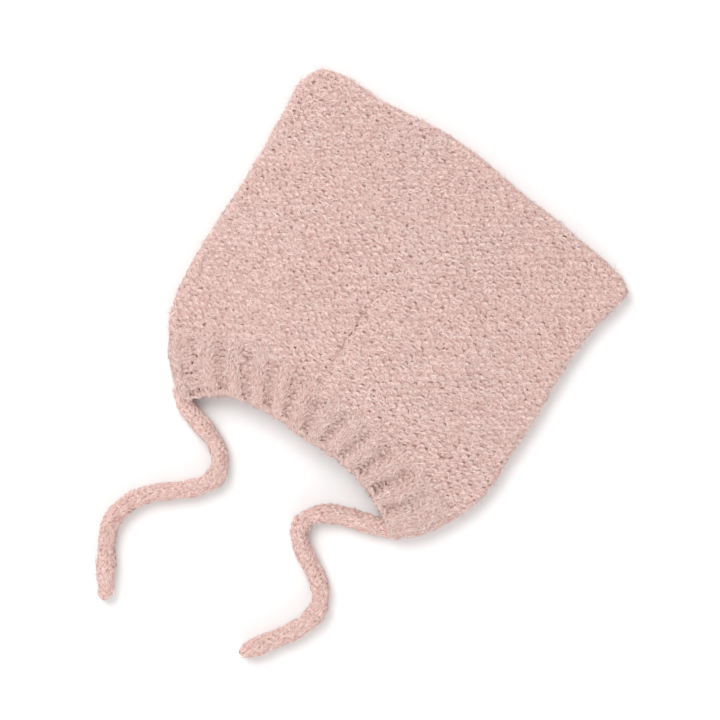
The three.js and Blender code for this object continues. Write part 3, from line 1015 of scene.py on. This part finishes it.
def wool(name, shades, streaks=True):
    """Brushed yarn: fibre streaks along it, a mottle from stitch to stitch and slow drifts."""
    nodes = Nodes(name)
    light, middle, dark = (linear(*shade) for shade in shades)
    mottle = nodes.noise(nodes.object, scale=380, detail=4)
    drift = nodes.noise(nodes.object, scale=28, detail=2)
    if streaks:
        fibres = nodes.noise(nodes.uv, scale=1.0, detail=5, stretch=(0.6, 15, 1))
    else:
        fibres = nodes.noise(nodes.object, scale=1400, detail=4)
    colour = nodes.ramp(mottle, (0.14, dark), (0.88, light), (0.5, middle))
    streak = nodes.ramp(fibres, (0.38, (0.68, 0.6, 0.58, 1)), (0.62, (1.08, 1.08, 1.08, 1)))
    slow = nodes.ramp(drift, (0.3, (1.0, 0.957, 0.949, 1)), (0.7, (0.99, 1.0, 1.0, 1)))
    colour = nodes.mix("MULTIPLY", 1.0, nodes.mix("MULTIPLY", 1.0, colour, streak), slow)
    fine = nodes.noise(nodes.object, scale=2600, detail=2)
    relief = nodes.mix("MIX", 0.4, fibres, fine)
    bump = nodes.add("ShaderNodeBump", Strength=0.8, Distance=0.0005, Height=relief)
    nodes.surface(
        Base_Color=colour,
        Normal=bump.outputs["Normal"],
        Roughness=0.92,
        Specular_IOR_Level=0.2,
        Sheen_Weight=0.35,
        Sheen_Roughness=0.45,
        Sheen_Tint=(1.0, 0.9, 0.88, 1),
    )
    return nodes.material


def fibre_material(name, shades):
    """Single loose fibres, each with its own shade between two."""
    nodes = Nodes(name)
    light, dark = (linear(*shade) for shade in shades)
    apart = nodes.add("ShaderNodeSeparateXYZ", Vector=nodes.uv)
    colour = nodes.ramp(apart.outputs["X"], (0.1, dark), (0.9, light))
    nodes.surface(Base_Color=colour, Roughness=0.8, Specular_IOR_Level=0.25, Sheen_Weight=0.3)
    return nodes.material


# The room


def make_light(name, power, size, place):
    """A round lamp that faces the middle of the bonnet."""
    lamp = bpy.data.lights.new(name, "AREA")
    lamp.shape, lamp.size, lamp.energy = "DISK", size, power
    light = bpy.data.objects.new(name, lamp)
    light.location = place
    light.rotation_euler = (-Vector(place)).to_track_quat("-Z", "Y").to_euler()
    bpy.context.scene.collection.objects.link(light)


def make_world():
    """Even light from all round."""
    world = bpy.data.worlds.new("room")
    bpy.context.scene.world = world
    world.use_nodes = True
    background = world.node_tree.nodes["Background"].inputs
    background["Color"].default_value = WORLD_COLOUR
    background["Strength"].default_value = WORLD_STRENGTH


def make_floor():
    """A wide pale sheet of board, faintly mottled."""
    nodes = Nodes("white_board")
    faint = nodes.noise(nodes.object, scale=9, detail=2)
    colour = nodes.ramp(faint, (0.3, FLOOR_PALE), (0.7, FLOOR_PALER))
    nodes.surface(Base_Color=colour, Roughness=0.9)
    mesh = Mesh()
    steps = np.linspace(-FLOOR_REACH, FLOOR_REACH, FLOOR_POINTS)
    x, y = np.meshgrid(steps, steps)
    mesh.sheet(np.stack([x, y, np.full_like(x, FLOOR_HEIGHT)], axis=-1), True)
    mesh.build("floor", nodes.material)


make_camera()
bpy.context.scene.view_settings.view_transform = "Standard"

tie_wool = wool("tie_wool", TIE_SHADES)
moss_wool = wool("moss_wool", MOSS_SHADES)
rib_wool = wool("rib_wool", RIB_SHADES)
# Darker than the crown's wool: painted shade for the gaps between the stitches.
inner_wool_painted_shade = wool("inner_wool_painted_shade", INNER_PAINTED_SHADE_COLOURS, streaks=False)
loose_wool = fibre_material("loose_wool", FIBRE_SHADES)

for name, (route, swelling, seed) in TIES.items():
    mesh, roots, path, length = knit_tie(route, swelling, seed)
    tie = mesh.piece(name + "_knit", tie_wool, "tie_knit", (name,))
    hairs = fuzz(roots, TIE_FIBRES, **TIE_FUZZ).piece(name + "_fuzz", loose_wool, "tie_knit")

crown_roots, under_roots, band_roots = Roots(), Roots(), Roots()
for side, name in ((1, "crown_knit_right"), (-1, "crown_knit_left")):
    mesh = Mesh()
    for row in range(ROW_COUNT):
        moss_row(mesh, crown_roots, 1, side, row, UPPER_DETAIL)
    mesh.piece(name, moss_wool, "moss_knit", ("crown",))
for half, name in enumerate(("crown_knit_under_mouth", "crown_knit_under_ears")):
    mesh = Mesh()
    for row in range(half * ROW_COUNT // 2, (half + 1) * ROW_COUNT // 2):
        moss_row(mesh, under_roots, -1, 0, row, UNDER_DETAIL)
    mesh.piece(name, moss_wool, "moss_knit")
mesh, centres, normals = top_stitching()
mesh.piece("top_stitching", moss_wool, "moss_knit")
crown_roots.add(centres, normals, YARN_RADIUS, centres[:, 2] > 0)
mesh = Mesh()
knit_band(mesh, band_roots)
mouth_chain(mesh, band_roots)
mesh.piece("band_knit", rib_wool, "rib_knit", ("ribbed_band",))
# The inside wall shows through the gaps between stitches, and its darker wool is painted shade.
knit_backing().piece("fabric_inside", inner_wool_painted_shade, "moss_knit", welded=True)
for name, slot, roots, count, looks in (
    ("crown_fuzz", "moss_knit", crown_roots, CROWN_FIBRES, CROWN_FUZZ),
    ("crown_fuzz_under", "moss_knit", under_roots, UNDER_FIBRES, CROWN_FUZZ),
    ("band_fuzz", "rib_knit", band_roots, BAND_FIBRES, BAND_FUZZ),
):
    fuzz(roots, count, **looks).piece(name, loose_wool, slot)

make_world()
make_light("key", **KEY_LIGHT)
make_light("fill", **FILL_LIGHT)
make_floor()
